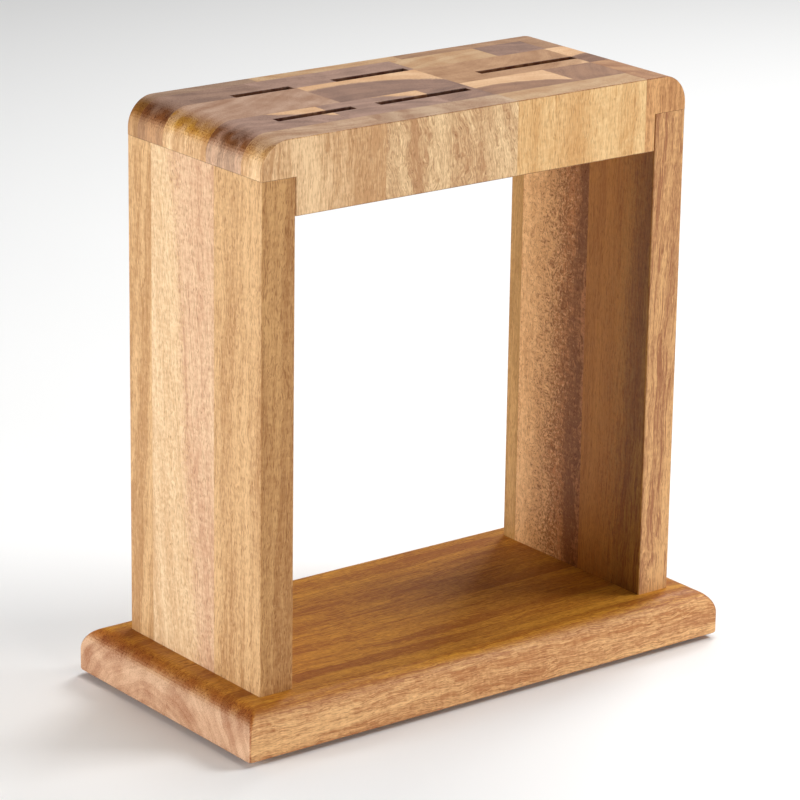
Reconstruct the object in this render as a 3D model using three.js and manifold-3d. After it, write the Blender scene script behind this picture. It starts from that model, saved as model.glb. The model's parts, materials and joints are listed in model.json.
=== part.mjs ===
// Open-frame knife block. An end-grain top block with five blade slots is rabbeted over two glued-up
// legs, and the legs stand on a base board with a rounded rim. Blades hang in the open space between.
// Millimetres, +Z up, +X along the block, +Y to the back. The origin is on the worktop, under the middle.
import * as THREE from "three";
import { mergeVertices } from "three/addons/utils/BufferGeometryUtils.js";
import Module from "manifold-3d";

const wasm = await Module();
wasm.setup();

// ---- Driving dimensions ----
const FOOT_HEIGHT = 2;
const FOOT_RADIUS = 6;
const FOOT_INSET = 15; // from each side of the base to the middle of a foot

const BASE_LENGTH = 250;
const BASE_DEPTH = 125;
const BASE_THICKNESS = 20;
const BASE_RIM_RADIUS = 10.5; // round-over along the top edge
const BASE_EASE = 1.2; // softened lower and upright edges
const BASE_GLUE_LINE = -3; // where the two boards of the base meet

const FRAME_LENGTH = 218;
const FRAME_DEPTH = 94;
const LEG_THICKNESS = 16.4;
const BLOCK_TOP = FOOT_HEIGHT + 250;
const BLOCK_THICKNESS = 31.6;
const SHOULDER_DROP = 15.5; // from the top face down to the shoulder that rests on the legs
const CORNER_RADIUS = 12.5; // rounded ends of the top block

const GLUE_GAP = 0.1; // thickness of a glue line
const LEFT = -FRAME_LENGTH / 2;
const RIGHT = FRAME_LENGTH / 2;
const FRONT = -FRAME_DEPTH / 2;
const BACK = FRAME_DEPTH / 2;
const BASE_TOP = FOOT_HEIGHT + BASE_THICKNESS;
const BLOCK_UNDER = BLOCK_TOP - BLOCK_THICKNESS;
const SHOULDER = BLOCK_TOP - SHOULDER_DROP;

// The end-grain block is glued from five strips, and each strip from short blocks that stand on end.
// A strip runs from y = from to y = to, and its blocks meet at the x of each joint.
const STRIPS = [
  { name: "front", from: FRONT, to: -33, joints: [-48.5, 18.5, 87] },
  { name: "front_middle", from: -33, to: -9, joints: [-56, -5, 17.5, 62, 88] },
  { name: "middle", from: -9, to: 21.6, joints: [-43, 17.5, 88] },
  { name: "back_middle", from: 21.6, to: 39.5, joints: [-57, 18, 63, 89] },
  { name: "back", from: 39.5, to: BACK, joints: [-50, 25, 68] },
];

// Each blade slot is cut right through the block. x runs along the slot, and y is its front wall.
const SLOT_WIDTH = 4.4;
const SLOTS = [
  { x: [-73, -44.2], y: 21.6 }, // paring knife
  { x: [-22.5, 15], y: 21.6 }, // bread knife
  { x: [-82.2, -44], y: -21 }, // carving knife
  { x: [-31.8, 14.5], y: -21.2 }, // santoku
  { x: [36.6, 88], y: -0.2 }, // chef's knife
];

// Each leg is glued from three upright staves that meet at these y positions, from front to back.
const LEGS = [
  { name: "left", x: [LEFT, LEFT + LEG_THICKNESS], joints: [-14.5, 30] },
  { name: "right", x: [RIGHT - LEG_THICKNESS, RIGHT], joints: [-5.5, 38.5] },
];
const PLACES = ["front", "middle", "back"];

const DOWEL_RADIUS = 3;
const DOWEL_IN_LEG = 16;
const DOWEL_IN_BLOCK = 8;
const DOWEL_FLUTES = 10;
const HOLE_CLEARANCE = 0.15; // between a fastener and its hole, all round
const FASTENER_Y = 25.8; // dowels and screws sit this far in front of and behind the middle
const FASTENER_X = RIGHT - LEG_THICKNESS / 2;

const SCREW_LENGTH = 45;
const SCREW_HEAD_RADIUS = 4;
const SCREW_HEAD_HEIGHT = 2.6;
const SCREW_SHANK_RADIUS = 1.6;
const SCREW_THREAD_RADIUS = 2;
const SCREW_THREAD_START = 18; // plain shank below this, from the head
const SCREW_PITCH = 1.8;
const SCREW_TIP_LENGTH = 4;
const SCREW_RECESS = 0.6; // the head sits this far inside the underside of the base
const CROSS_SLOT = { length: 4.4, width: 1, depth: 1.5 };

const ARC_SEGMENTS = 14;
const ROUND_SEGMENTS = 24;

// ---- Materials ----
const wood = (color) => new THREE.MeshStandardMaterial({ color, roughness: 0.5, metalness: 0 });
const END_GRAIN = [wood(0xb08c74), wood(0xd8ac82), wood(0x9a7a68), wood(0xc49c76)];
const LEG_WOOD = [wood(0xd2a368), wood(0xdfb684), wood(0xc08f5c)];
const BASE_WOOD = wood(0xa8703c);
const BEECH = wood(0xe0c096);
const STEEL = new THREE.MeshStandardMaterial({ color: 0xb9b4a6, roughness: 0.35, metalness: 1 });
const SILICONE = new THREE.MeshStandardMaterial({ color: 0xd9dad6, roughness: 0.6, metalness: 0 });

// ---- Solids ----
// A three.js geometry as a manifold-3d solid.
function solidOf(geometry) {
  const bare = geometry.clone();
  for (const name of Object.keys(bare.attributes)) {
    if (name !== "position") bare.deleteAttribute(name);
  }
  const merged = mergeVertices(bare, 1e-4);
  return new wasm.Manifold(
    new wasm.Mesh({
      numProp: 3,
      vertProperties: merged.attributes.position.array,
      triVerts: new Uint32Array(merged.index.array),
    }),
  );
}

// A manifold-3d solid as a flat-shaded three.js geometry.
function geometryOf(solid) {
  const mesh = solid.getMesh();
  const geometry = new THREE.BufferGeometry();
  geometry.setAttribute("position", new THREE.BufferAttribute(mesh.vertProperties, mesh.numProp));
  geometry.setIndex(new THREE.BufferAttribute(mesh.triVerts, 1));
  const faceted = geometry.toNonIndexed();
  faceted.computeVertexNormals();
  return faceted;
}

// A box between two x, two y and two z positions.
function box([x0, x1], [y0, y1], [z0, z1]) {
  const geometry = new THREE.BoxGeometry(x1 - x0, y1 - y0, z1 - z0);
  geometry.translate((x0 + x1) / 2, (y0 + y1) / 2, (z0 + z1) / 2);
  return solidOf(geometry);
}

// An upright solid of revolution about (x, y), from a list of [radius, z] that starts and ends on the axis.
function turned(profile, x, y, segments = ROUND_SEGMENTS) {
  const points = profile.map(([radius, z]) => new THREE.Vector2(radius, z));
  const geometry = new THREE.LatheGeometry(points, segments);
  geometry.rotateX(Math.PI / 2);
  geometry.translate(x, y, 0);
  return solidOf(geometry);
}

// A plain upright cylinder, used to drill holes.
function rod(radius, x, y, z0, z1) {
  return turned([[0, z0], [radius, z0], [radius, z1], [0, z1]], x, y);
}

// An outline in (x, z) carried along Y between two y positions.
function carriedAlongY(shape, [y0, y1]) {
  const geometry = new THREE.ExtrudeGeometry(shape, {
    depth: y1 - y0,
    bevelEnabled: false,
    curveSegments: ARC_SEGMENTS,
  });
  geometry.rotateX(Math.PI / 2);
  geometry.translate(0, y1, 0);
  return solidOf(geometry);
}

const parts = new THREE.Group();

function add(name, solid, material) {
  const mesh = new THREE.Mesh(geometryOf(solid), material);
  mesh.name = name;
  parts.add(mesh);
}

// The stretches between neighbouring joints, each half a glue line short at an inner end.
function stretches(start, joints, end) {
  const ends = [start, ...joints, end];
  return ends.slice(1).map((to, i) => [
    i === 0 ? start : ends[i] + GLUE_GAP / 2,
    i === ends.length - 2 ? end : to - GLUE_GAP / 2,
  ]);
}

// ---- Dowels and screws, and the holes that they need ----
const CORNERS = [
  { name: "left_front", x: -FASTENER_X, y: -FASTENER_Y },
  { name: "left_back", x: -FASTENER_X, y: FASTENER_Y },
  { name: "right_front", x: FASTENER_X, y: -FASTENER_Y },
  { name: "right_back", x: FASTENER_X, y: FASTENER_Y },
];

// A fluted dowel with chamfered ends.
function dowel({ x, y }) {
  const flute = 0.25;
  const outline = new THREE.Shape();
  for (let i = 0; i < 2 * DOWEL_FLUTES; i += 1) {
    const angle = (Math.PI * i) / DOWEL_FLUTES;
    const radius = i % 2 ? DOWEL_RADIUS - flute : DOWEL_RADIUS;
    const move = i ? "lineTo" : "moveTo";
    outline[move](radius * Math.cos(angle), radius * Math.sin(angle));
  }
  const chamfer = 0.7;
  const low = SHOULDER - DOWEL_IN_LEG;
  const high = SHOULDER + DOWEL_IN_BLOCK;
  const geometry = new THREE.ExtrudeGeometry(outline, { depth: high - low, bevelEnabled: false });
  geometry.translate(x, y, low);
  const ends = [
    [0, low],
    [DOWEL_RADIUS - chamfer, low],
    [DOWEL_RADIUS + 0.1, low + chamfer],
    [DOWEL_RADIUS + 0.1, high - chamfer],
    [DOWEL_RADIUS - chamfer, high],
    [0, high],
  ];
  return solidOf(geometry).intersect(turned(ends, x, y));
}

function dowelHole({ x, y }) {
  const bottom = SHOULDER - DOWEL_IN_LEG - 1;
  const top = SHOULDER + DOWEL_IN_BLOCK + 0.5;
  return rod(DOWEL_RADIUS + HOLE_CLEARANCE, x, y, bottom, top);
}

const HEAD_Z = FOOT_HEIGHT + SCREW_RECESS;
const HEAD_TOP = HEAD_Z + SCREW_HEAD_HEIGHT;

// A countersunk wood screw, head down, with ring ridges for its thread and a cross recess in the head.
function screw({ x, y }) {
  const tip = HEAD_Z + SCREW_LENGTH;
  const profile = [
    [0, HEAD_Z],
    [SCREW_HEAD_RADIUS, HEAD_Z],
    [SCREW_HEAD_RADIUS, HEAD_Z + 0.3],
    [SCREW_SHANK_RADIUS, HEAD_TOP],
  ];
  const threads = Math.floor((SCREW_LENGTH - SCREW_THREAD_START - SCREW_TIP_LENGTH) / SCREW_PITCH);
  for (let i = 0; i < threads; i += 1) {
    const z = HEAD_Z + SCREW_THREAD_START + i * SCREW_PITCH;
    profile.push([SCREW_SHANK_RADIUS, z], [SCREW_THREAD_RADIUS, z + SCREW_PITCH / 2]);
  }
  profile.push([SCREW_SHANK_RADIUS, tip - SCREW_TIP_LENGTH], [0, tip]);
  const { length, width, depth } = CROSS_SLOT;
  const mouth = [HEAD_Z - 1, HEAD_Z + depth];
  const across = box([x - length / 2, x + length / 2], [y - width / 2, y + width / 2], mouth);
  const along = box([x - width / 2, x + width / 2], [y - length / 2, y + length / 2], mouth);
  return turned(profile, x, y, 16).subtract(across.add(along));
}

function screwHole({ x, y }) {
  const shank = SCREW_THREAD_RADIUS + HOLE_CLEARANCE;
  const mouth = SCREW_HEAD_RADIUS + 2 * HOLE_CLEARANCE;
  return turned(
    [
      [0, FOOT_HEIGHT - 1],
      [mouth, FOOT_HEIGHT - 1],
      [mouth, HEAD_Z + 0.3],
      [shank, HEAD_TOP],
      [shank, HEAD_Z + SCREW_LENGTH + 0.5],
      [0, HEAD_Z + SCREW_LENGTH + 0.5],
    ],
    x,
    y,
  );
}

const DOWEL_HOLES = wasm.Manifold.union(CORNERS.map(dowelHole));
const SCREW_HOLES = wasm.Manifold.union(CORNERS.map(screwHole));

// ---- Top block ----
// Its outline from the front: rounded upper corners, and a rabbet at each end that the leg fills.
function blockOutline() {
  const inner = RIGHT - LEG_THICKNESS + GLUE_GAP / 2;
  const shoulder = SHOULDER + GLUE_GAP / 2;
  const shape = new THREE.Shape();
  shape.moveTo(-inner + GLUE_GAP, BLOCK_UNDER);
  shape.lineTo(inner - GLUE_GAP, BLOCK_UNDER);
  shape.lineTo(inner - GLUE_GAP, shoulder);
  shape.lineTo(RIGHT, shoulder);
  shape.absarc(RIGHT - CORNER_RADIUS, BLOCK_TOP - CORNER_RADIUS, CORNER_RADIUS, 0, Math.PI / 2);
  shape.absarc(LEFT + CORNER_RADIUS, BLOCK_TOP - CORNER_RADIUS, CORNER_RADIUS, Math.PI / 2, Math.PI);
  shape.lineTo(LEFT, shoulder);
  shape.lineTo(-inner + GLUE_GAP, shoulder);
  shape.closePath();
  return shape;
}

function slotCutter({ x, y }) {
  return box(x, [y, y + SLOT_WIDTH], [BLOCK_UNDER - 1, BLOCK_TOP + 1]);
}

function addTopBlock() {
  const cuts = wasm.Manifold.union([...SLOTS.map(slotCutter), DOWEL_HOLES]);
  const depths = stretches(FRONT, STRIPS.slice(1).map((strip) => strip.from), BACK);
  STRIPS.forEach((strip, row) => {
    const whole = carriedAlongY(blockOutline(), depths[row]).subtract(cuts);
    stretches(LEFT, strip.joints, RIGHT).forEach((span, column) => {
      const block = whole.intersect(box(span, [FRONT, BACK], [BLOCK_UNDER, BLOCK_TOP]));
      add(`top_${strip.name}_${column + 1}`, block, END_GRAIN[(row + column) % END_GRAIN.length]);
    });
  });
}

// ---- Legs ----
function addLeg(leg) {
  const heights = [BASE_TOP + GLUE_GAP, SHOULDER - GLUE_GAP / 2];
  stretches(FRONT, leg.joints, BACK).forEach((depth, i) => {
    const stave = box(leg.x, depth, heights).subtract(DOWEL_HOLES).subtract(SCREW_HOLES);
    add(`${leg.name}_leg_${PLACES[i]}_stave`, stave, LEG_WOOD[i]);
  });
}

// ---- Base ----
// Half of a board's outline seen from its edge: a large round-over above, a small one below.
function rimOutline(halfWidth) {
  const shape = new THREE.Shape();
  const rim = BASE_RIM_RADIUS;
  const ease = BASE_EASE;
  shape.absarc(halfWidth - ease, FOOT_HEIGHT + ease, ease, -Math.PI / 2, 0);
  shape.absarc(halfWidth - rim, BASE_TOP - rim, rim, 0, Math.PI / 2);
  shape.absarc(rim - halfWidth, BASE_TOP - rim, rim, Math.PI / 2, Math.PI);
  shape.absarc(ease - halfWidth, FOOT_HEIGHT + ease, ease, Math.PI, 1.5 * Math.PI);
  shape.closePath();
  return shape;
}

// The two rims meet in a mitre at each corner, where the sections along X and along Y intersect.
function baseBoard() {
  const alongY = carriedAlongY(rimOutline(BASE_LENGTH / 2), [-BASE_DEPTH / 2, BASE_DEPTH / 2]);
  const alongX = carriedAlongY(rimOutline(BASE_DEPTH / 2), [-BASE_LENGTH / 2, BASE_LENGTH / 2]);
  return alongY.intersect(alongX.rotate([0, 0, 90])).subtract(SCREW_HOLES);
}

function addBase() {
  const board = baseBoard();
  const halves = stretches(-BASE_DEPTH / 2, [BASE_GLUE_LINE], BASE_DEPTH / 2);
  ["front", "back"].forEach((place, i) => {
    const cut = box([-BASE_LENGTH / 2, BASE_LENGTH / 2], halves[i], [FOOT_HEIGHT, BASE_TOP]);
    add(`base_${place}_board`, board.intersect(cut), BASE_WOOD);
  });
}

// ---- Feet ----
// A domed bumper stuck under the base, flat where it meets the worktop.
function foot(x, y) {
  const flat = FOOT_RADIUS - 1.4;
  return turned(
    [
      [0, 0],
      [flat, 0],
      [flat + 0.7, 0.25],
      [flat + 1.2, 0.8],
      [FOOT_RADIUS, FOOT_HEIGHT - GLUE_GAP],
      [0, FOOT_HEIGHT - GLUE_GAP],
    ],
    x,
    y,
  );
}

function addFeet() {
  const x = BASE_LENGTH / 2 - FOOT_INSET;
  const y = BASE_DEPTH / 2 - FOOT_INSET;
  for (const [side, signX] of [["left", -1], ["right", 1]]) {
    for (const [place, signY] of [["front", -1], ["back", 1]]) {
      add(`foot_${side}_${place}`, foot(signX * x, signY * y), SILICONE);
    }
  }
}

addTopBlock();
LEGS.forEach(addLeg);
addBase();
addFeet();
for (const corner of CORNERS) {
  add(`dowel_${corner.name}`, dowel(corner), BEECH);
  add(`screw_${corner.name}`, screw(corner), STEEL);
}

export default parts;
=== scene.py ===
"""An open-frame knife block of glued acacia: an end-grain top with five slots, two legs and a base."""
import json
import math
import bpy
import numpy as np
from mathutils import Matrix, Vector


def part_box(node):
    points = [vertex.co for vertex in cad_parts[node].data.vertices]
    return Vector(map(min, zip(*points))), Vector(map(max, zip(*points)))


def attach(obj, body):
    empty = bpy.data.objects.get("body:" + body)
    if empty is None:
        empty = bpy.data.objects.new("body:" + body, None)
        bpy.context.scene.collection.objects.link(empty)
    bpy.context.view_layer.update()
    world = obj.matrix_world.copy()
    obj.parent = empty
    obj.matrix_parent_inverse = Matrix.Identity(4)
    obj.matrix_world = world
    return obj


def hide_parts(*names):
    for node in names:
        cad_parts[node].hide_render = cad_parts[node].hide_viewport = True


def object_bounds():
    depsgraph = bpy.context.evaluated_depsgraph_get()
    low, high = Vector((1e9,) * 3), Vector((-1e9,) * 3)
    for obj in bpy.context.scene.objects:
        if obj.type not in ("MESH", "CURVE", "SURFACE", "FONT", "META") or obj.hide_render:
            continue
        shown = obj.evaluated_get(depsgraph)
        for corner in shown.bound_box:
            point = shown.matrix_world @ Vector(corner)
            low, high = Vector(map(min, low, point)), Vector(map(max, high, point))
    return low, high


MM = 0.001
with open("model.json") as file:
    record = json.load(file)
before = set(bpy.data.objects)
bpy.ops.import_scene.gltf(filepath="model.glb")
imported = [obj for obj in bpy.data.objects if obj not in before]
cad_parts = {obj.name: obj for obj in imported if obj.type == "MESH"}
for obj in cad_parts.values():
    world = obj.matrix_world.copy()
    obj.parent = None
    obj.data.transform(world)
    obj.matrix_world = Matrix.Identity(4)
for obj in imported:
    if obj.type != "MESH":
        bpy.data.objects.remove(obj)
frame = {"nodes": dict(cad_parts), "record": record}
cad_low, cad_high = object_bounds()


# ---- Sizes, worked out from the frame ----
def sides_of(node):
    """The CAD node's box in millimetres: (x0, x1), (y0, y1), (z0, z1)."""
    low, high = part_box(node)
    return [(a / MM, b / MM) for a, b in zip(low, high)]


TOP_NODES = sorted(name for name in frame["nodes"] if name.startswith("top_"))
LEG_NODES = sorted(name for name in frame["nodes"] if "_leg_" in name)
BASE_NODES = ["base_front_board", "base_back_board"]
FOOT_NODES = sorted(name for name in frame["nodes"] if name.startswith("foot_"))
SCREW_NODES = sorted(name for name in frame["nodes"] if name.startswith("screw_"))
DOWEL_NODES = sorted(name for name in frame["nodes"] if name.startswith("dowel_"))

BLOCK_TOP = cad_high.z / MM
BLOCK_UNDER = sides_of("top_middle_2")[2][0]
BLOCK_END = sides_of("top_front_4")[0][1]
BLOCK_FRONT = sides_of("top_front_1")[1][0]
LEG_TOP = sides_of("left_leg_front_stave")[2][1]
LEG_INNER = sides_of("right_leg_front_stave")[0][0]
BASE_TOP = sides_of("base_front_board")[2][1]
BASE_UNDER = sides_of("base_front_board")[2][0]

CORNER_RADIUS = 12.5  # rounded ends of the top block
RIM_RADIUS = 10.5  # round-over along the base's top edge
TOP_EASE = 0.7  # sanded edges of the top block
SLOT_EASE = 0.35  # sanded mouths of the slots
LEG_EASE = 0.9  # sanded long edges of the legs
BASE_EASE = 1.2  # sanded lower edges and corners of the base
SLOT_CLEARANCE = 0.1  # the record's slot boxes are this much smaller than the slots, all round
JOINT_CLOSING = 0.03  # each glued face is this much nearer to its neighbour than in the frame
GLUE_LINE = 0.1  # gap between neighbouring pieces in the frame
LEG_SINK = 0.08  # each leg reaches this far down into its glue line
HOLE_CLEARANCE = 0.15  # round a dowel
CUT_PAST = 1  # a cutter runs this far past the face that it opens
HOLE_END = 0.5  # a blind hole runs this far past its dowel or screw
SAME = 0.01  # sides nearer to each other than this are one side
# Painted shade in the slots reaches only upright faces at least this far inside the block's front and back.
SLOT_SHADE_INSET = 2  # slot walls lie at least this far inside the block's front and back
TRUNK_START = 0.03  # metres along the trunk to where the staves were cut

HEAD_RIM = 0.3  # height of a screw head's straight rim
HEAD_HEIGHT = 2.6  # from the face of a screw's head to the end of its cone
SHANK_RADIUS = 1.6
SHANK_HOLE_RADIUS = 2.15


# ---- Meshes ----
def closed_grid(rings):
    """Vertices and faces of a stack of closed rings. rings is an array of levels by points by 3, each ring
    anticlockwise seen from above and the levels going up. A flat face closes each end."""
    levels, points, _ = rings.shape
    index = np.arange(levels * points).reshape(levels, points)
    ahead = np.roll(index, -1, axis=1)
    walls = np.stack([index[:-1], ahead[:-1], ahead[1:], index[1:]], axis=-1).reshape(-1, 4)
    faces = walls.tolist() + [index[0, ::-1].tolist(), index[-1].tolist()]
    return rings.reshape(-1, 3), faces


def new_piece(name, vertices, faces):
    """A mesh object at the origin, from vertices in millimetres."""
    mesh = bpy.data.meshes.new(name)
    mesh.from_pydata((np.asarray(vertices) * MM).tolist(), [], faces)
    mesh.update()
    piece = bpy.data.objects.new(name, mesh)
    bpy.context.scene.collection.objects.link(piece)
    return piece


def quarter_round(depth, radius):
    """How far a face is drawn in at a depth below its eased edge: r - sqrt(r^2 - (r - depth)^2), 0 past r."""
    rest = np.clip(radius - depth, 0, radius)
    return radius - np.sqrt(radius**2 - rest**2)


def round_levels(radius, steps):
    """Depths below an eased edge, at equal turns of its quarter round: r (1 - cos t)."""
    return radius * (1 - np.cos(np.linspace(0, math.pi / 2, steps + 1)))


def carried_up(name, box, heights, drawn_in, corner_radii):
    """A rectangle carried up. Its four sides are, in order, front, right, back and left. At each height a
    side is moved in by drawn_in[side]. A corner lies where its two sides cross, as an arc of its radius."""
    (x0, x1), (y0, y1) = box
    corners = np.array([(x1, y0), (x1, y1), (x0, y1), (x0, y0)])
    before = np.array([(0, -1), (1, 0), (0, 1), (-1, 0)])  # outward normal of the side that ends here
    after = np.roll(before, -1, axis=0)
    inset = np.stack(drawn_in, axis=1)[:, :, None]
    sharp = corners - before * inset - after * np.roll(inset, -1, axis=1)
    columns = []
    for k, radius in enumerate(corner_radii):
        turn = np.linspace(0, math.pi / 2, 6 if radius else 1)[:, None]
        arc = radius * (before[k] * (np.cos(turn) - 1) + after[k] * (np.sin(turn) - 1))
        columns.append(sharp[:, k, None, :] + arc)
    plan = np.concatenate(columns, axis=1)
    level = np.broadcast_to(np.asarray(heights)[:, None, None], plan.shape[:2] + (1,))
    return new_piece(name, *closed_grid(np.concatenate([plan, level], axis=2)))


def turned(name, radius, height, around=32, centre=(0, 0)):
    """A surface of revolution: each ring is a circle of its radius at its height, and the ends are flat."""
    turn = np.linspace(0, 2 * math.pi, around, endpoint=False)
    radius, height = np.broadcast_arrays(np.asarray(radius, float), np.asarray(height, float))
    rings = np.empty((len(radius), around, 3))
    rings[..., 0] = centre[0] + radius[:, None] * np.cos(turn)
    rings[..., 1] = centre[1] + radius[:, None] * np.sin(turn)
    rings[..., 2] = height[:, None]
    return new_piece(name, *closed_grid(rings))


def cut(piece, cutters):
    """Takes the cutters out of the piece, and keeps the result as its mesh."""
    for cutter in cutters:
        modifier = piece.modifiers.new("cut", "BOOLEAN")
        modifier.operation = "DIFFERENCE"
        modifier.solver = "EXACT"
        modifier.object = cutter
    view = bpy.context.evaluated_depsgraph_get()
    mesh = bpy.data.meshes.new_from_object(piece.evaluated_get(view))
    piece.modifiers.clear()
    piece.data = mesh
    mesh.name = piece.name


def overlaps(a, b):
    """True if two pieces' boxes meet."""
    boxes = [np.array([tuple(v.co) for v in o.data.vertices]) for o in (a, b)]
    low = np.maximum(boxes[0].min(0), boxes[1].min(0))
    high = np.minimum(boxes[0].max(0), boxes[1].max(0))
    return bool(np.all(low < high))


def finish_piece(piece, node, material):
    """Shades the piece smooth between its real edges, and puts it in the CAD node's place."""
    mesh = piece.data
    mesh.shade_smooth()
    mesh.set_sharp_from_angle(angle=math.radians(32))
    flat = piece.modifiers.new("flat faces stay flat", "WEIGHTED_NORMAL")
    flat.keep_sharp = True
    flat.weight = 80
    mesh.materials.clear()
    mesh.materials.append(material)
    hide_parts(node)
    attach(piece, "root")


# ---- Node helpers ----
def linear(tone):
    """A six-digit colour as linear red, green, blue and 1."""
    parts = [int(tone[i : i + 2], 16) / 255 for i in (0, 2, 4)]
    return tuple(c / 12.92 if c <= 0.04045 else ((c + 0.055) / 1.055) ** 2.4 for c in parts) + (1.0,)


class Nodes:
    """Short names for adding nodes to one tree."""

    def __init__(self, tree):
        self.tree = tree
        self.column = 0

    def add(self, kind, **values):
        node = self.tree.nodes.new(kind)
        self.column += 1
        node.location = (180 * (self.column % 12), -220 * (self.column // 12))
        for name, value in values.items():
            setattr(node, name, value)
        return node

    def put(self, socket, value):
        if isinstance(value, bpy.types.NodeSocket):
            self.tree.links.new(value, socket)
        elif value is not None:
            socket.default_value = value

    def math(self, operation, a, b=None, c=None, clamp=False):
        node = self.add("ShaderNodeMath", operation=operation, use_clamp=clamp)
        for socket, value in zip(node.inputs, (a, b, c)):
            self.put(socket, value)
        return node.outputs[0]

    def vector(self, operation, a, b=None, scale=None):
        node = self.add("ShaderNodeVectorMath", operation=operation)
        self.put(node.inputs[0], a)
        self.put(node.inputs[1], b)
        self.put(node.inputs[3], scale)
        return node.outputs[1 if operation in ("DOT_PRODUCT", "LENGTH") else 0]

    def mix(self, blend, factor, a, b):
        node = self.add("ShaderNodeMix", data_type="RGBA", blend_type=blend, clamp_factor=True)
        self.put(node.inputs[0], factor)
        self.put(node.inputs[6], a)
        self.put(node.inputs[7], b)
        return node.outputs[2]

    def noise(self, vector, scale=1.0, detail=2.0, roughness=0.5, w=None):
        node = self.add("ShaderNodeTexNoise", noise_dimensions="1D" if w is not None else "3D")
        if w is None:
            self.put(node.inputs["Vector"], vector)
        else:
            self.put(node.inputs["W"], w)
        self.put(node.inputs["Scale"], scale)
        node.inputs["Detail"].default_value = detail
        node.inputs["Roughness"].default_value = roughness
        return node

    def between(self, value, low, high, to_low=0.0, to_high=1.0):
        """A smooth step from to_low at low to to_high at high."""
        node = self.add("ShaderNodeMapRange", interpolation_type="SMOOTHSTEP")
        for socket, given in zip(node.inputs, (value, low, high, to_low, to_high)):
            self.put(socket, given)
        return node.outputs[0]


def new_group(name, inputs, outputs):
    """A shader node group. inputs maps a name to its default, and outputs to its kind of socket."""
    tree = bpy.data.node_groups.new(name, "ShaderNodeTree")
    for label, default in inputs.items():
        kind = "NodeSocketFloat"
        if isinstance(default, tuple):
            kind = "NodeSocketColor" if len(default) == 4 else "NodeSocketVector"
        socket = tree.interface.new_socket(label, in_out="INPUT", socket_type=kind)
        socket.default_value = default
    for label, kind in outputs.items():
        tree.interface.new_socket(label, in_out="OUTPUT", socket_type=kind)
    nodes = Nodes(tree)
    return tree, nodes, nodes.add("NodeGroupInput").outputs, nodes.add("NodeGroupOutput").inputs


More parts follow.
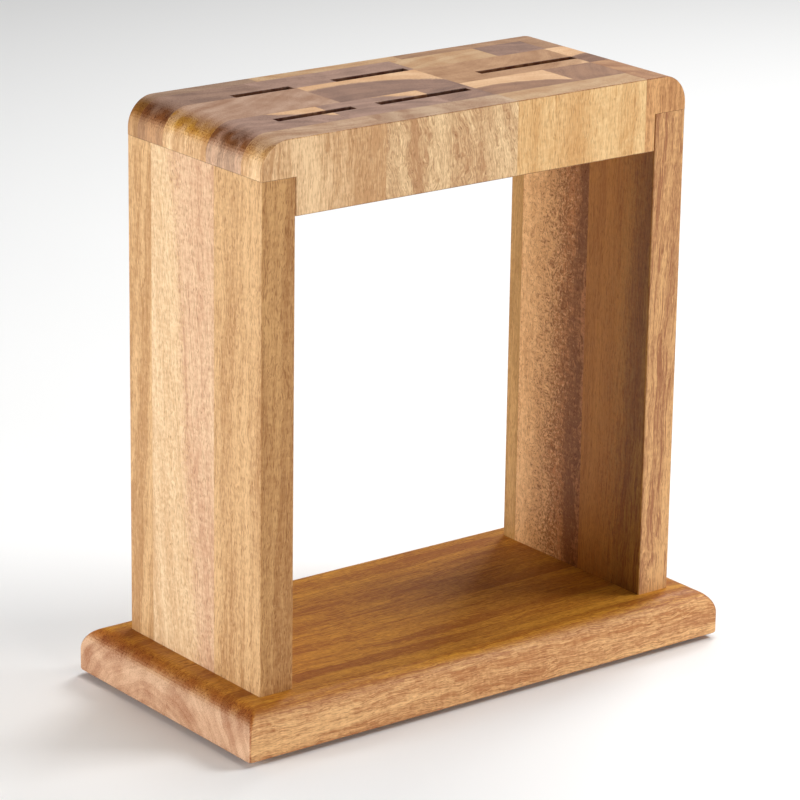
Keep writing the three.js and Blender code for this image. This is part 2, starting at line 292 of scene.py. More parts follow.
# ---- Timber ----
def acacia_group():
    """Solid acacia. Vector is in metres in the tree's own frame: Z runs along the grain and the pith is at 0.
    Growth rings are bands of the distance from the pith, which wanders along the trunk. Fibres and pores are
    noises drawn out along the grain, so that a pore is a dot on end grain and a dash on long grain. A noise's
    three factors are its detail per millimetre, across the trunk both ways and along it."""
    tree, n, given, out = new_group(
        "Acacia",
        {
            "Vector": (0.0, 0.0, 0.0),
            "Light": (0.7, 0.4, 0.2, 1.0),
            "Dark": (0.4, 0.2, 0.1, 1.0),
            "Sapwood": (0.8, 0.55, 0.3, 1.0),
            "End Tint": (0.8, 0.88, 1.1, 1.0),
            "Slant Shade Tint": (0.54, 0.38, 0.19, 1.0),
            "Face Tint and Shade": (1.0, 1.0, 1.0, 1.0),
            "Slant Shift": 0.0,
            "Grain Axis": (0.0, 0.0, 1.0),
            "Face Axis": (0.0, 1.0, 0.0),
            "Ring Spacing": 2.6,
            "Sap Radius": 500.0,
            "Sap Blend": 1.0,
            "Wander": 3.0,
            "Curl": 0.6,
            "Streaks": 0.5,
            "Pores": 0.6,
            "Ripple": 0.4,
        },
        {"Color": "NodeSocketColor", "Roughness": "NodeSocketFloat", "Height": "NodeSocketFloat"},
    )
    place = n.vector("SCALE", given["Vector"], scale=1 / MM)
    # The trunk leans and swells slowly; curl is a tighter wave that gives figured wood.
    slow = n.noise(n.vector("MULTIPLY", place, (0.03, 0.03, 0.008)), detail=1.0)
    tight = n.noise(n.vector("MULTIPLY", place, (0.10, 0.10, 0.055)), detail=2.0)
    lean = n.vector("SUBTRACT", slow.outputs["Color"], (0.5, 0.5, 0.5))
    lean = n.vector("MULTIPLY", n.vector("SCALE", lean, scale=given["Wander"]), (2.0, 2.0, 0.0))
    wave = n.vector("SUBTRACT", tight.outputs["Color"], (0.5, 0.5, 0.5))
    wave = n.vector("MULTIPLY", n.vector("SCALE", wave, scale=given["Curl"]), (6.0, 6.0, 0.0))
    grown = n.vector("ADD", n.vector("ADD", place, lean), wave)
    radius = n.vector("LENGTH", n.vector("MULTIPLY", grown, (1.0, 1.0, 0.0)))
    crimp = n.noise(n.vector("MULTIPLY", place, (0.30, 0.30, 0.22)), detail=1.0)
    crimp = n.vector("SUBTRACT", crimp.outputs["Color"], (0.5, 0.5, 0.5))
    crimp = n.vector("MULTIPLY", n.vector("SCALE", crimp, scale=given["Curl"]), (1.5, 1.5, 0.0))
    crimped = n.vector("ADD", grown, crimp)
    turns = n.math("DIVIDE", radius, given["Ring Spacing"])
    bands = n.noise(None, scale=0.42, detail=2.0, roughness=0.6, w=turns).outputs[0]
    late = n.math("FRACT", n.math("ADD", turns, n.math("MULTIPLY", bands, 2.0)))
    late = n.math("POWER", late, 4.0)
    heart = n.noise(n.vector("MULTIPLY", grown, (0.085, 0.085, 0.009)), detail=2.0).outputs[0]
    fibre = n.noise(n.vector("MULTIPLY", crimped, (1.9, 1.9, 0.10)), detail=3.0, roughness=0.7).outputs[0]
    streak = n.noise(n.vector("MULTIPLY", grown, (0.62, 0.62, 0.016)), detail=2.0, roughness=0.6).outputs[0]
    hairline = n.noise(n.vector("MULTIPLY", grown, (1.9, 1.9, 0.03)), detail=1.0).outputs[0]
    share = n.math("MULTIPLY_ADD", given["Streaks"], 0.6, 0.3)
    hairline = n.math("MULTIPLY", n.between(hairline, 0.52, 0.68), share)
    ripple = n.noise(n.vector("MULTIPLY", place, (0.32, 0.32, 0.62)), detail=2.0).outputs[0]
    chatter = n.noise(n.vector("MULTIPLY", crimped, (0.75, 0.75, 0.85)), detail=1.0, roughness=0.6).outputs[0]
    facing = n.add("ShaderNodeNewGeometry").outputs["True Normal"]
    across = n.math("ABSOLUTE", n.vector("DOT_PRODUCT", facing, given["Grain Axis"]))
    tipped = n.math("SUBTRACT", across, given["Slant Shift"])
    slant = n.math("MULTIPLY", n.between(tipped, 0.25, 0.62), n.between(tipped, 0.995, 0.80))
    # How dark the heartwood is here.
    contrast = n.between(across, 0.3, 0.9, 0.6, 0.5)
    depth = n.math("MULTIPLY", n.math("SUBTRACT", n.between(bands, 0.3, 0.7), 0.5), contrast)
    depth = n.math("MULTIPLY_ADD", n.math("SUBTRACT", n.between(heart, 0.3, 0.7), 0.5), 0.5, depth)
    drawn = n.math("MULTIPLY", n.between(streak, 0.50, 0.68), given["Streaks"])
    drawn = n.math("MULTIPLY", drawn, n.between(across, 0.9, 0.3, 0.2, 1.0))
    depth = n.math("MULTIPLY_ADD", drawn, 0.8, depth)
    depth = n.math("MULTIPLY_ADD", n.math("MULTIPLY", hairline, n.between(across, 0.9, 0.3)), 0.45, depth)
    spread = n.math("MULTIPLY", n.math("SUBTRACT", fibre, 0.5), n.between(across, 0.99, 0.7, 1.0, 2.3))
    depth = n.math("ADD", depth, spread)
    rippled = n.math("MULTIPLY", n.math("SUBTRACT", ripple, 0.5), given["Ripple"])
    rippled = n.math("MULTIPLY", rippled, n.between(across, 0.8, 0.2))
    depth = n.math("MULTIPLY_ADD", rippled, 1.8, depth)
    depth = n.math("MULTIPLY_ADD", late, 0.22, depth)
    depth = n.math("ADD", depth, 0.40, clamp=True)
    tone = n.mix("MIX", depth, given["Light"], given["Dark"])
    # Sapwood lies outside the sap radius, and its edge follows the fibres.
    ragged = n.math("MULTIPLY", n.math("SUBTRACT", fibre, 0.5), 3.0)
    broken = n.math("MULTIPLY", n.math("SUBTRACT", chatter, 0.5), given["Ripple"])
    ragged = n.math("MULTIPLY_ADD", broken, 3.6, ragged)
    past = n.math("DIVIDE", n.math("SUBTRACT", radius, given["Sap Radius"]), given["Sap Blend"])
    sap = n.between(n.math("ADD", past, ragged), -0.8, 0.8)
    pale = n.mix("MULTIPLY", n.math("MULTIPLY", depth, 0.75), given["Sapwood"], (0.72, 0.58, 0.46, 1.0))
    tone = n.mix("MIX", sap, tone, pale)
    # Pores: open vessels in some cells only, and finer ones that run together into short dashes.
    cells = n.add("ShaderNodeTexVoronoi", voronoi_dimensions="3D", feature="F1")
    n.put(cells.inputs["Vector"], n.vector("MULTIPLY", crimped, (1.55, 1.55, 0.22)))
    cells.inputs["Scale"].default_value = 1.0
    chosen = n.between(n.vector("DOT_PRODUCT", cells.outputs["Color"], (1.0, 0.0, 0.0)), 0.2, 0.8)
    vessel = n.math("MULTIPLY", n.between(cells.outputs["Distance"], 0.30, 0.12), chosen)
    fine = n.vector("ADD", n.vector("MULTIPLY", crimped, (2.1, 2.1, 0.24)), (31.0, 17.0, 5.0))
    dash = n.between(n.noise(fine, detail=1.0).outputs[0], 0.52, 0.68)
    pore = n.math("MULTIPLY_ADD", dash, 0.6, vessel, clamp=True)
    pore = n.math("MULTIPLY", pore, n.math("MULTIPLY_ADD", slant, 0.8, given["Pores"]), clamp=True)
    tone = n.mix("MULTIPLY", pore, tone, (0.48, 0.34, 0.25, 1.0))
    # Cut across, the fibres are darker and greyer, and sapwood takes less of that than heartwood.
    open_end = n.math("MULTIPLY", n.between(across, 0.35, 0.9), n.math("MULTIPLY_ADD", sap, -0.6, 1.0))
    tone = n.mix("MULTIPLY", open_end, tone, given["End Tint"])
    # The face that looks along the face axis has a tint of its own: the wood's own tone on the left leg's
    # front, painted shade on the base's top, and on the right leg's front stave a lift of its lit front face
    # against its shaded inner face.
    turned_face = n.math("ABSOLUTE", n.vector("DOT_PRODUCT", facing, given["Face Axis"]))
    tone = n.mix("MULTIPLY", n.between(turned_face, 0.45, 0.97), tone, given["Face Tint and Shade"])
    patch = n.noise(n.vector("MULTIPLY", place, (0.16, 0.16, 0.05)), detail=1.0).outputs[0]
    # Curves cut at a slant to the grain are darkest and warmest, in patches: partly the slant-cut grain, and
    # partly painted shade where the roundings turn away from the lamps.
    slant = n.math("MULTIPLY", slant, n.math("MULTIPLY_ADD", n.between(patch, 0.35, 0.6), 0.5, 0.5))
    tone = n.mix("MULTIPLY", slant, tone, given["Slant Shade Tint"])
    n.put(out["Color"], tone)
    rough = n.math("MULTIPLY_ADD", n.math("SUBTRACT", fibre, 0.5), 0.22, 0.46)
    rough = n.math("MULTIPLY_ADD", n.between(across, 0.5, 0.95), 0.10, rough)
    n.put(out["Roughness"], n.math("MULTIPLY_ADD", pore, 0.25, rough))
    height = n.math("MULTIPLY_ADD", pore, -0.7, n.math("MULTIPLY", fibre, 0.35))
    n.put(out["Height"], n.math("MULTIPLY_ADD", late, -0.12, height))
    return tree


def sanding_group():
    """Hand-sanded and oiled: faint scratches along the grain, and a slow change of sheen where oil soaked
    in."""
    tree, n, given, out = new_group(
        "Sanded and oiled",
        {
            "Vector": (0.0, 0.0, 0.0),
            "Roughness": 0.45,
            "Height": 0.0,
            "Sheen Change": 0.12,
            "Scratches": 0.15,
        },
        {"Roughness": "NodeSocketFloat", "Height": "NodeSocketFloat"},
    )
    place = n.vector("SCALE", given["Vector"], scale=1 / MM)
    soaked = n.noise(n.vector("MULTIPLY", place, (0.05, 0.05, 0.02)), detail=3.0).outputs[0]
    change = n.math("MULTIPLY", n.math("SUBTRACT", soaked, 0.5), given["Sheen Change"])
    n.put(out["Roughness"], n.math("ADD", given["Roughness"], change, clamp=True))
    scratch = n.noise(n.vector("MULTIPLY", place, (7.0, 7.0, 0.35)), detail=1.0).outputs[0]
    n.put(out["Height"], n.math("MULTIPLY_ADD", scratch, given["Scratches"], given["Height"]))
    return tree


def slot_shade_group():
    """Painted shade down the slots: upright faces well inside the block's outer faces darken towards near
    black, standing in for the shade inside the narrow slots.
    """
    tree, n, given, out = new_group(
        "Painted slot shade",
        {"Vector": (0.0, 0.0, 0.0), "Color": (0.8, 0.8, 0.8, 1.0), "Amount": 1.0},
        {"Color": "NodeSocketColor"},
    )
    facing = n.add("ShaderNodeNewGeometry").outputs["True Normal"]
    upright = n.between(n.math("ABSOLUTE", n.vector("DOT_PRODUCT", facing, (0.0, 0.0, 1.0))), 0.97, 0.5)
    place = n.add("ShaderNodeSeparateXYZ")
    n.put(place.inputs[0], n.vector("SCALE", given["Vector"], scale=1 / MM))
    inside_ends = n.math("LESS_THAN", n.math("ABSOLUTE", place.outputs[0]), BLOCK_END - CORNER_RADIUS)
    inside_faces = n.math("LESS_THAN", n.math("ABSOLUTE", place.outputs[1]), -BLOCK_FRONT - SLOT_SHADE_INSET)
    inside = n.math("MULTIPLY", inside_ends, inside_faces)
    blotch = n.noise(n.vector("SCALE", given["Vector"], scale=1 / MM), scale=0.3, detail=2.0).outputs[0]
    depth = n.math("MULTIPLY", n.math("MULTIPLY", upright, inside), n.between(blotch, 0.2, 0.8, 0.75, 1.0))
    depth = n.math("MULTIPLY", depth, given["Amount"])
    # Painted shade: the slot walls are multiplied towards near black.
    n.put(out["Color"], n.mix("MULTIPLY", depth, given["Color"], (0.14, 0.032, 0.007, 1.0)))
    return tree


ACACIA = acacia_group()
SLOT_SHADE = slot_shade_group()
SANDING = sanding_group()
UP = (0.0, 0.0, 1.0)
ALONG = (1.0, 0.0, 0.0)
BACKWARD = (0.0, 1.0, 0.0)
END_TINT = (0.60, 0.58, 0.67)
NO_SAPWOOD = 500.0  # a sap radius, in millimetres, past every piece


def timber(
    name, light, dark, pith, sap=NO_SAPWOOD, blend=1.0, sapwood="f2c898", ring=2.6, wander=3.0, curl=0.6,
    streaks=0.5, pores=0.6, ripple=0.4, lean=(2.0, 1.0), axis=UP, end_tint=END_TINT, face_axis=BACKWARD,
    face_tint_and_shade=(1.0, 1.0, 1.0), slant_shade_tint=(0.54, 0.38, 0.19), slant_shift=0.0, slot_shade=0.0, specular=0.28,
):
    """One stave's wood. pith is where the middle of the tree was, in millimetres across the grain, and lean
    is how far the tree's axis leans from the stave's, in degrees."""
    material = bpy.data.materials.new(name)
    material.use_nodes = True
    n = Nodes(material.node_tree)
    shader = n.tree.nodes["Principled BSDF"]
    place = n.add("ShaderNodeTexCoord").outputs["Object"]
    turn = n.add("ShaderNodeMapping", vector_type="TEXTURE")
    turn.label = "the tree's own frame"
    n.put(turn.inputs["Vector"], place)
    if axis == UP:
        turn.inputs["Location"].default_value = (pith[0] * MM, pith[1] * MM, TRUNK_START)
        twist = 7 * lean[0] + 11 * lean[1]  # the tree is turned too, so that like staves differ
        angles = (math.radians(lean[0]), math.radians(lean[1]), math.radians(twist))
    else:
        turn.inputs["Location"].default_value = (TRUNK_START, pith[0] * MM, pith[1] * MM)
        angles = (math.radians(lean[0]), math.radians(90 + lean[1]), 0)
    turn.inputs["Rotation"].default_value = angles
    wood = n.add("ShaderNodeGroup", node_tree=ACACIA)
    n.put(wood.inputs["Vector"], turn.outputs[0])
    for label, value in {
        "Light": linear(light),
        "Dark": linear(dark),
        "Sapwood": linear(sapwood),
        "End Tint": end_tint + (1.0,),
        "Slant Shade Tint": slant_shade_tint + (1.0,),
        "Face Tint and Shade": face_tint_and_shade + (1.0,),
        "Slant Shift": slant_shift,
        "Grain Axis": axis,
        "Face Axis": face_axis,
        "Ring Spacing": ring,
        "Sap Radius": sap,
        "Sap Blend": blend,
        "Wander": wander,
        "Curl": curl,
        "Streaks": streaks,
        "Pores": pores,
        "Ripple": ripple,
    }.items():
        wood.inputs[label].default_value = value
    finish = n.add("ShaderNodeGroup", node_tree=SANDING)
    n.put(finish.inputs["Vector"], turn.outputs[0])
    n.put(finish.inputs["Roughness"], wood.outputs["Roughness"])
    n.put(finish.inputs["Height"], wood.outputs["Height"])
    bump = n.add("ShaderNodeBump")
    bump.inputs["Strength"].default_value = 0.35
    bump.inputs["Distance"].default_value = 0.0002
    n.put(bump.inputs["Height"], finish.outputs["Height"])
    tone = wood.outputs["Color"]
    # Painted shade on the slot walls.
    if slot_shade:
        shaded_slots = n.add("ShaderNodeGroup", node_tree=SLOT_SHADE)
        n.put(shaded_slots.inputs["Vector"], place)
        n.put(shaded_slots.inputs["Color"], tone)
        shaded_slots.inputs["Amount"].default_value = slot_shade
        tone = shaded_slots.outputs["Color"]
    n.put(shader.inputs["Base Color"], tone)
    n.put(shader.inputs["Roughness"], finish.outputs["Roughness"])
    n.put(shader.inputs["Normal"], bump.outputs[0])
    shader.inputs["Specular IOR Level"].default_value = specular
    return material


# The timbers on the maker's rack, as the tones of the pale wood and of the dark bands on long grain.
CREAM = dict(light="f6d096", dark="d8a468")
STRAW = dict(light="f5d0a0", dark="c89868")
FLAMED = dict(light="fadaa8", dark="c09064")
HONEY = dict(light="e8b880", dark="c08c58")
WHEAT = dict(light="e4ba86", dark="bc8c5a")
BLUSH = dict(light="ecc8a0", dark="d0a07c")
COPPER = dict(light="e4ae74", dark="b88050")
TAN = dict(light="d8aa78", dark="b08458")
ROSE = dict(light="d8b090", dark="a8866c")
CHESTNUT = dict(light="cc9c70", dark="a47a58")
UMBER = dict(light="c09878", dark="9a7860")
WALNUT = dict(light="b08460", dark="906648")
AMBER = dict(light="d4a464", dark="b28448")
RUSSET = dict(light="cc8a50", dark="945c2a")
# This bronze tone is partly painted shade: it stands for the shaded inner face of the right leg.
SHADED_BRONZE = dict(light="b07c34", dark="804c1c")
GINGER = dict(light="f5c488", dark="bc7e4c")
# Slant-cut grain and painted shade on the curves at the block's left end, and the cooler and rosier of the
# blocks' end grain.
DARK_SLANT_SHADE = (0.45, 0.24, 0.08)
COOL_END = (0.55, 0.60, 0.85)
ROSY_END = (0.54, 0.50, 0.62)

# Each stave's wood: its timber, and then its own figure. A slant tint is partly the slant-cut grain and
# partly painted shade on the curves.
TOP_WOODS = {
    "top_front_1": dict(STRAW, pith=(-60, 60), streaks=0.6, ring=3.2, lean=(1, 0.5),
                        slant_shade_tint=(0.8, 0.65, 0.4)),
    "top_front_2": dict(FLAMED, pith=(-20, -10), curl=1.1, wander=11, ring=13, lean=(9, -7), pores=0.7,
                        streaks=0.25, ripple=0.3),
    "top_front_3": dict(CREAM, pith=(20, 90), streaks=0.35, ring=5, lean=(1, 2)),
    "top_front_4": dict(COPPER, pith=(150, -20), streaks=0.6, lean=(3, 1)),
    "top_front_middle_1": dict(ROSE, pith=(-110, -60), sap=60.5, wander=1.5, curl=1.0, slant_shade_tint=DARK_SLANT_SHADE,
                               blend=1.6),
    "top_front_middle_2": dict(ROSE, pith=(-50, -60), sap=59, wander=2, blend=1.8),
    "top_front_middle_3": dict(UMBER, pith=(20, -90)),
    "top_front_middle_4": dict(CHESTNUT, pith=(18, -83), sap=69.5, wander=1.5, curl=0.3),
    "top_front_middle_5": dict(CHESTNUT, pith=(120, -50)),
    "top_front_middle_6": dict(COPPER, pith=(150, 40)),
    "top_middle_1": dict(STRAW, pith=(-120, 90), ring=4, slant_shade_tint=(0.85, 0.65, 0.15), end_tint=ROSY_END),
    "top_middle_2": dict(UMBER, pith=(-35, -55), sap=75.8, wander=1.2, curl=0.2, ring=5, blend=1.8),
    "top_middle_3": dict(HONEY, pith=(20, 60), sap=84, ring=4, wander=2, blend=4),
    "top_middle_4": dict(WALNUT, pith=(100, -40), sap=52, wander=1),
    "top_back_middle_1": dict(CHESTNUT, pith=(-60, 120), slant_shade_tint=DARK_SLANT_SHADE, end_tint=COOL_END),
    "top_back_middle_2": dict(ROSE, pith=(-20, 130), ring=4),
    "top_back_middle_3": dict(CREAM, pith=(50, -30), ring=4),
    "top_back_middle_4": dict(UMBER, pith=(90, 90)),
    "top_back_middle_5": dict(TAN, pith=(140, 60)),
    "top_back_1": dict(TAN, pith=(-100, 0), slant_shade_tint=(0.6, 0.4, 0.1), end_tint=COOL_END),
    "top_back_2": dict(CREAM, pith=(0, 120)),
    "top_back_3": dict(TAN, pith=(40, 0)),
    "top_back_4": dict(TAN, pith=(100, 110)),
}
LEG_WOODS = {
    "left_leg_back_stave": dict(WHEAT, pith=(-150, 60), streaks=0.6, ring=2.4, ripple=0.5),
    "left_leg_middle_stave": dict(BLUSH, pith=(-100, -140), sap=139, sapwood="f4d4a8", ring=6, curl=0.7,
                                  wander=6, pores=0.75, ripple=0.9, lean=(-6, 1), blend=5),
    "left_leg_front_stave": dict(WHEAT, pith=(-135, -60), ring=4, streaks=0.35, pores=0.85, curl=0.7,
                                 ripple=0.5, face_tint_and_shade=(0.8, 0.7, 0.55)),
    "right_leg_back_stave": dict(AMBER, pith=(140, 60), ring=3),
    "right_leg_middle_stave": dict(RUSSET, pith=(100, -160), sap=179, sapwood="f5c488", ring=5, curl=2.2,
                                   wander=5, pores=0.9, ripple=1.3, blend=12, streaks=1.0),
    # Partly painted shade on the right leg's inner face: a dark tone that grows darker towards the front as
    # the sapwood edge runs out. The face tint lifts the lit front face.
    "right_leg_front_stave": dict(SHADED_BRONZE, pith=(170, -120), ring=5, streaks=0.8, face_tint_and_shade=(1.8, 2.2, 5.4),
                                  ripple=0.25, sapwood="cc8c3c", sap=122, blend=13),
}
BASE_WOODS = {
    "base_front_board": dict(GINGER, pith=(0, -25), ring=3.4, streaks=0.5, lean=(1.5, 1)),
    "base_back_board": dict(GINGER, pith=(10, -30), ring=3.4, streaks=0.5, lean=(-1.5, 1)),
}
# The boards of the base lie down: their grain runs along, and their tinted face is the top, darker and warmer
# than the rounded edges as painted shade under the block.
BASE_CUT = dict(
    axis=ALONG,
    end_tint=(0.85, 0.9, 1.25),
    face_axis=UP,
    face_tint_and_shade=(0.72, 0.54, 0.13),
    slant_shade_tint=(0.7, 0.5, 0.4),
    slant_shift=-0.12,
    specular=0.3,
)


# ---- Cutters ----
def slot_cutters():
    """One upright cutter per blade slot, with mouths flared by the slot's eased edge."""
    depth = round_levels(SLOT_EASE, 4)
    heights = np.concatenate([
        [BLOCK_UNDER - CUT_PAST],
        BLOCK_UNDER + depth,
        BLOCK_TOP - depth[::-1],
        [BLOCK_TOP + CUT_PAST],
    ])
    from_face = np.minimum(np.abs(heights - BLOCK_UNDER), np.abs(BLOCK_TOP - heights))
    flare = -quarter_round(from_face, SLOT_EASE)
    flare[[0, -1]] = -SLOT_EASE
    cutters = []
    for opening in frame["record"]["physics"]["openings"]:
        if not opening["name"].startswith("slot_"):
            continue
        low, high = (np.array(corner) / MM for corner in opening["box_m"])
        box = [(low[i] - SLOT_CLEARANCE, high[i] + SLOT_CLEARANCE) for i in (0, 1)]
        cutters.append(carried_up("cutter", box, heights, [flare] * 4, [0] * 4))
    return cutters


def middle_of(node):
    """The x and y of the middle of the node's box."""
    (x0, x1), (y0, y1), _ = sides_of(node)
    return (x0 + x1) / 2, (y0 + y1) / 2


def dowel_cutters():
    """The holes that the dowels sit in."""
    cutters = []
    for node in DOWEL_NODES:
        (x0, x1), _, (z0, z1) = sides_of(node)
        radius = (x1 - x0) / 2 + HOLE_CLEARANCE
        cutters.append(turned("cutter", [radius] * 2, [z0 - CUT_PAST, z1 + HOLE_END], 24, middle_of(node)))
    return cutters


def screw_cutters():
    """The countersunk holes that the screws go up."""
    cutters = []
    for node in SCREW_NODES:
        (x0, x1), _, (z0, z1) = sides_of(node)
        head = (x1 - x0) / 2 + 2 * HOLE_CLEARANCE
        radius = [head, head, SHANK_HOLE_RADIUS, SHANK_HOLE_RADIUS]
        heights = [BASE_UNDER - CUT_PAST, z0 + HEAD_RIM, z0 + HEAD_HEIGHT, z1 + HOLE_END]
        cutters.append(turned("cutter", radius, heights, 40, middle_of(node)))
    return cutters


# ---- Wooden pieces ----
def joint_box(node):
    """The node's x and y sides, each glued side moved out to close its glue line."""
    (x0, x1), (y0, y1), _ = sides_of(node)
    box = []
    for low, high, outer in ((x0, x1, BLOCK_END), (y0, y1, -BLOCK_FRONT)):
        low -= 0 if low < SAME - outer else JOINT_CLOSING
        high += 0 if high > outer - SAME else JOINT_CLOSING
        box.append((low, high))
    return box


def top_stave(node):
    """A short block of the top. Its outer sides are drawn in along their eased edges, and an end side is
    drawn in by the rabbet up to the shoulder and by the corner's quarter round near the top."""
    box = joint_box(node)
    rim = round_levels(TOP_EASE, 4)
    arc = round_levels(CORNER_RADIUS, 16)
    shoulder = LEG_TOP + GLUE_LINE
    step = 0.01  # height over which the rabbet's side jumps out to the block's end
    heights = np.unique(np.concatenate([
        BLOCK_UNDER + rim,
        [shoulder, shoulder + step],
        BLOCK_TOP - rim,
        BLOCK_TOP - arc,
    ]).round(4))
    straight = np.zeros(len(heights))
    eased = quarter_round(heights - BLOCK_UNDER, TOP_EASE) + quarter_round(BLOCK_TOP - heights, TOP_EASE)
    rabbet = np.where(heights < shoulder + step / 2, BLOCK_END - LEG_INNER + GLUE_LINE, 0)
    end = rabbet + quarter_round(BLOCK_TOP - heights, CORNER_RADIUS)
    left, right = box[0][0] < SAME - BLOCK_END, box[0][1] > BLOCK_END - SAME
    front, back = box[1][0] < SAME + BLOCK_FRONT, box[1][1] > -BLOCK_FRONT - SAME
    drawn_in = [
        eased if front else straight,
        end if right else straight,
        eased if back else straight,
        end if left else straight,
    ]
    corners = ((front, right), (right, back), (back, left), (left, front))
    radii = [TOP_EASE if a and b else 0 for a, b in corners]
    return carried_up(node + "_stave", box, heights, drawn_in, radii)


def leg_stave(node):
    """An upright stave. Its two outer corners, if any, are eased, and its glued faces are plain."""
    box = joint_box(node)
    box[0] = sides_of(node)[0]
    z0, z1 = sides_of(node)[2]
    heights = np.linspace(z0 - LEG_SINK, z1, 9)
    front, back = box[1][0] < SAME + BLOCK_FRONT, box[1][1] > -BLOCK_FRONT - SAME
    radii = [LEG_EASE if outer else 0 for outer in (front, back, back, front)]
    return carried_up(node + "_wood", box, heights, [np.zeros(len(heights))] * 4, radii)


def base_board(node):
    """A board of the base. Each outer side is drawn in by the rim's large quarter round above and by a small
    one below, so that two rims meet in a mitre at each corner."""
    (x0, x1), (y0, y1), _ = sides_of(node)
    rim = round_levels(RIM_RADIUS, 14)
    ease = round_levels(BASE_EASE, 4)
    heights = np.unique(np.concatenate([BASE_UNDER + ease, BASE_TOP - rim]).round(4))
    outer = quarter_round(BASE_TOP - heights, RIM_RADIUS) + quarter_round(heights - BASE_UNDER, BASE_EASE)
    straight = np.zeros(len(heights))
    front = node == "base_front_board"
    box = [(x0, x1), (y0, y1 + JOINT_CLOSING) if front else (y0 - JOINT_CLOSING, y1)]
    drawn_in = [outer if front else straight, outer, straight if front else outer, outer]
    radii = [BASE_EASE, 0, 0, BASE_EASE] if front else [0, BASE_EASE, BASE_EASE, 0]
    return carried_up(node + "_wood", box, heights, drawn_in, radii)


def make_wooden_pieces():
    """Builds each stave and board, takes its slots and holes out, and gives it wood of its own."""
    cutters = slot_cutters() + dowel_cutters() + screw_cutters()
    for nodes, build, woods, slot, extra in (
        # The top's slot walls get painted shade.
        (TOP_NODES, top_stave, TOP_WOODS, "end_grain_wood", dict(slot_shade=1.0)),
        (LEG_NODES, leg_stave, LEG_WOODS, "leg_wood", {}),
        (BASE_NODES, base_board, BASE_WOODS, "base_wood", BASE_CUT),
    ):
        for node in nodes:
            piece = build(node)
            wanted = [cutter for cutter in cutters if overlaps(piece, cutter)]
            if wanted:
                cut(piece, wanted)
            finish_piece(piece, node, timber(node + " acacia", **woods[node], **extra))
    for cutter in cutters:
        bpy.data.objects.remove(cutter)


# ---- Feet and fasteners ----
def silicone():
    """Milky silicone: a soft gloss with a faint cloudiness inside and dust on it."""
    material = bpy.data.materials.new("milky silicone")
    material.use_nodes = True
    n = Nodes(material.node_tree)
    shader = n.tree.nodes["Principled BSDF"]
    place = n.add("ShaderNodeTexCoord").outputs["Object"]
    cloud = n.noise(place, scale=420.0, detail=3.0).outputs[0]
    dust = n.noise(place, scale=5200.0, detail=1.0).outputs[0]
    tone = n.mix("MIX", n.between(cloud, 0.3, 0.7), linear("dfe0dc"), linear("c8cac4"))
    tone = n.mix("MIX", n.between(dust, 0.66, 0.74, 0.0, 0.5), tone, linear("a8a294"))
    n.put(shader.inputs["Base Color"], tone)
    n.put(shader.inputs["Roughness"], n.between(dust, 0.4, 0.75, 0.3, 0.6))
    bump = n.add("ShaderNodeBump")
    bump.inputs["Strength"].default_value = 0.15
    bump.inputs["Distance"].default_value = 0.0001
    n.put(bump.inputs["Height"], cloud)
    n.put(shader.inputs["Normal"], bump.outputs[0])
    return material


def zinc():
    """Zinc plate: small crystals of slightly different brightness, and fine turning marks."""
    material = bpy.data.materials.new("zinc plate")
    material.use_nodes = True
    n = Nodes(material.node_tree)
    shader = n.tree.nodes["Principled BSDF"]
    place = n.add("ShaderNodeTexCoord").outputs["Object"]
    crystals = n.add("ShaderNodeTexVoronoi", voronoi_dimensions="3D", feature="F1")
    n.put(crystals.inputs["Vector"], place)
    crystals.inputs["Scale"].default_value = 1900.0
    grain = n.vector("DOT_PRODUCT", crystals.outputs["Color"], (0.33, 0.33, 0.33))
    tarnish = n.noise(place, scale=260.0, detail=3.0).outputs[0]
    tone = n.mix("MIX", grain, linear("c9c6bb"), linear("a9a596"))
    tone = n.mix("MIX", n.between(tarnish, 0.5, 0.75, 0.0, 0.6), tone, linear("8f856c"))
    n.put(shader.inputs["Base Color"], tone)
    n.put(shader.inputs["Roughness"], n.between(grain, 0.0, 1.0, 0.28, 0.46))
    shader.inputs["Metallic"].default_value = 1.0
    bump = n.add("ShaderNodeBump")
    bump.inputs["Strength"].default_value = 0.2
    bump.inputs["Distance"].default_value = 0.00005
    n.put(bump.inputs["Height"], grain)
    n.put(shader.inputs["Normal"], bump.outputs[0])
    return material


def foot(node):
    """A bumper: a disc whose side widens upwards as a power of a sine, with an eased edge to its sole."""
    (x0, x1), _, (z0, z1) = sides_of(node)
    widest = (x1 - x0) / 2
    sole = 0.78  # as a share of the widest radius
    eased = 0.06  # where the side's curve begins, as a share of the height
    up = np.linspace(0, 1, 13)
    side = widest * (sole + (1 - sole) * np.sin(up * math.pi / 2) ** 0.6)
    radius = np.concatenate([[side[0] - 0.55, side[0] - 0.2], side[1:]])
    heights = np.concatenate([[z0, z0 + 0.03], z0 + (z1 - z0) * (eased + (1 - eased) * up[1:])])
    return turned(node + "_bumper", radius, heights, 48, middle_of(node))


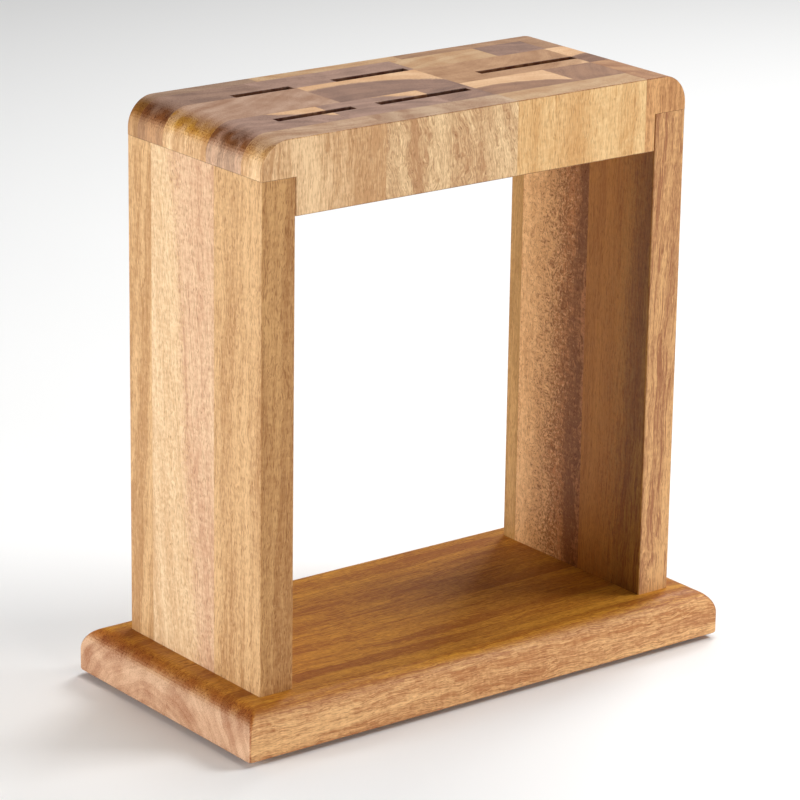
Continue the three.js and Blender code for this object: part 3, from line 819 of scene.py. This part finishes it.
def screw(node):
    """A countersunk screw. Its radius is a function of turn and height: the shank, plus a ridge that climbs
    one pitch per turn, tapering to a point. The cross recess is cut from the head."""
    (x0, x1), _, (z0, z1) = sides_of(node)
    head = (x1 - x0) / 2
    centre = middle_of(node)
    thread = 0.4  # height of the ridge
    pitch = 1.8
    around = 28
    start = z0 + 16  # where the thread begins
    point = 0.15  # radius of the blunt tip, and of the ease on the head's edge
    rise = np.arange(start, z1 - 0.4, pitch / 9)
    turn = np.linspace(0, 2 * math.pi, around, endpoint=False)
    heights = np.concatenate([[z0, z0 + HEAD_RIM, z0 + HEAD_HEIGHT, z0 + 3.4], rise, [z1]])
    shank = np.full(2 + len(rise), SHANK_RADIUS)
    radius = np.concatenate([[head - point, head], shank, [point]])[:, None]
    phase = (heights[:, None] / pitch - turn / (2 * math.pi)) % 1
    ridge = thread * np.clip(1 - np.abs(phase - 0.5) * 3.2, 0, 1)
    ridge = ridge * np.clip((heights[:, None] - start) / 3, 0, 1)
    taper = np.clip((z1 - heights[:, None]) / 6, 0, 1) ** 0.7
    radius = np.where(heights[:, None] >= start, np.maximum((radius + ridge) * taper, point), radius)
    rings = np.empty((len(heights), around, 3))
    rings[..., 0] = centre[0] + radius * np.cos(turn)
    rings[..., 1] = centre[1] + radius * np.sin(turn)
    rings[..., 2] = heights[:, None]
    piece = new_piece(node + "_threaded", *closed_grid(rings))
    recess = []
    x, y = centre
    long_side, short_side = 4.4, 1.0  # of each bar of the cross
    for length, width in ((long_side, short_side), (short_side, long_side)):
        box = [(x - length / 2, x + length / 2), (y - width / 2, y + width / 2)]
        levels = np.array([z0 - 1, z0 + 0.01, z0 + 1.5])
        drawn_in = np.array([0.0, 0.0, 0.32])
        recess.append(carried_up("cutter", box, levels, [drawn_in] * 4, [0] * 4))
    cut(piece, recess)
    for cutter in recess:
        bpy.data.objects.remove(cutter)
    return piece


def make_feet_and_fasteners():
    """Feet and screws replace their CAD nodes. The dowels keep theirs, and get beech."""
    rubber, plate = silicone(), zinc()
    for node in FOOT_NODES:
        finish_piece(foot(node), node, rubber)
    for node in SCREW_NODES:
        finish_piece(screw(node), node, plate)
    for node in DOWEL_NODES:
        x, y = middle_of(node)
        wood = timber(node + " beech", "ecd2ac", "d6b488", (x + 20, y + 14), ring=1.6, streaks=0.1, pores=0.3)
        for slot in frame["nodes"][node].material_slots:
            slot.material = wood


# ---- Floor, lights and camera ----
def make_floor():
    """A plain pale floor that reaches six metres each way."""
    reach = 6000.0
    corners = [(-reach, -reach, 0), (reach, -reach, 0), (reach, reach, 0), (-reach, reach, 0)]
    floor = new_piece("studio_floor", corners, [[0, 1, 2, 3]])
    material = bpy.data.materials.new("pale floor")
    material.use_nodes = True
    shader = material.node_tree.nodes["Principled BSDF"]
    shader.inputs["Base Color"].default_value = (0.9, 0.9, 0.895, 1.0)
    shader.inputs["Roughness"].default_value = 0.9
    shader.inputs["Specular IOR Level"].default_value = 0.0
    floor.data.materials.append(material)


def softbox(name, target, azimuth, elevation, distance, size, power):
    """A square lamp that faces the target from an azimuth and elevation, azimuth 0 being the front."""
    lamp = bpy.data.lights.new(name, "AREA")
    lamp.shape = "SQUARE"
    lamp.size = size
    lamp.energy = power
    a, e = math.radians(azimuth), math.radians(elevation)
    back = Vector((math.sin(a) * math.cos(e), -math.cos(a) * math.cos(e), math.sin(e)))
    holder = bpy.data.objects.new(name, lamp)
    holder.location = Vector(target) + back * distance
    holder.rotation_euler = back.to_track_quat("Z", "Y").to_euler()
    bpy.context.scene.collection.objects.link(holder)


def make_lights():
    """Five softboxes that face the middle of the block, and a dim even room."""
    middle = (0, 0, 0.12)
    softbox("overhead", middle, 135, 84, 1.5, 0.35, 7.5)
    softbox("front right", middle, 62, 44, 1.8, 0.6, 16.0)
    softbox("back right", middle, 118, 42, 1.8, 0.6, 13.0)
    softbox("left side", middle, -97, 8, 1.7, 0.5, 19.0)
    softbox("front", middle, 3, 12, 1.9, 0.8, 11.5)
    world = bpy.data.worlds.new("soft room")
    world.use_nodes = True
    world.node_tree.nodes["Background"].inputs["Color"].default_value = (1.0, 1.0, 1.0, 1.0)
    world.node_tree.nodes["Background"].inputs["Strength"].default_value = 0.12
    bpy.context.scene.world = world


def make_camera():
    """The camera's place on a sphere around its target, and a small roll."""
    azimuth = math.radians(-37.634)
    elevation = math.radians(17.883)
    roll = math.radians(0.866)
    distance = 1.598
    target = Vector((-0.0037, 0, 0.1164))
    back = Vector((
        math.sin(azimuth) * math.cos(elevation),
        -math.cos(azimuth) * math.cos(elevation),
        math.sin(elevation),
    ))
    right = back.cross(Vector((0, 0, -1))).normalized()
    up = back.cross(right)
    side = right * math.cos(roll) + up * math.sin(roll)
    crown = up * math.cos(roll) - right * math.sin(roll)
    data = bpy.data.cameras.new("camera")
    data.sensor_width = 36
    data.lens = 170.58
    camera = bpy.data.objects.new("camera", data)
    camera.matrix_world = Matrix((side, crown, back)).transposed().to_4x4()
    camera.location = target + back * distance
    bpy.context.scene.collection.objects.link(camera)
    bpy.context.scene.camera = camera


make_camera()
make_wooden_pieces()
make_feet_and_fasteners()
make_floor()
make_lights()
bpy.context.scene.view_settings.view_transform = "Standard"
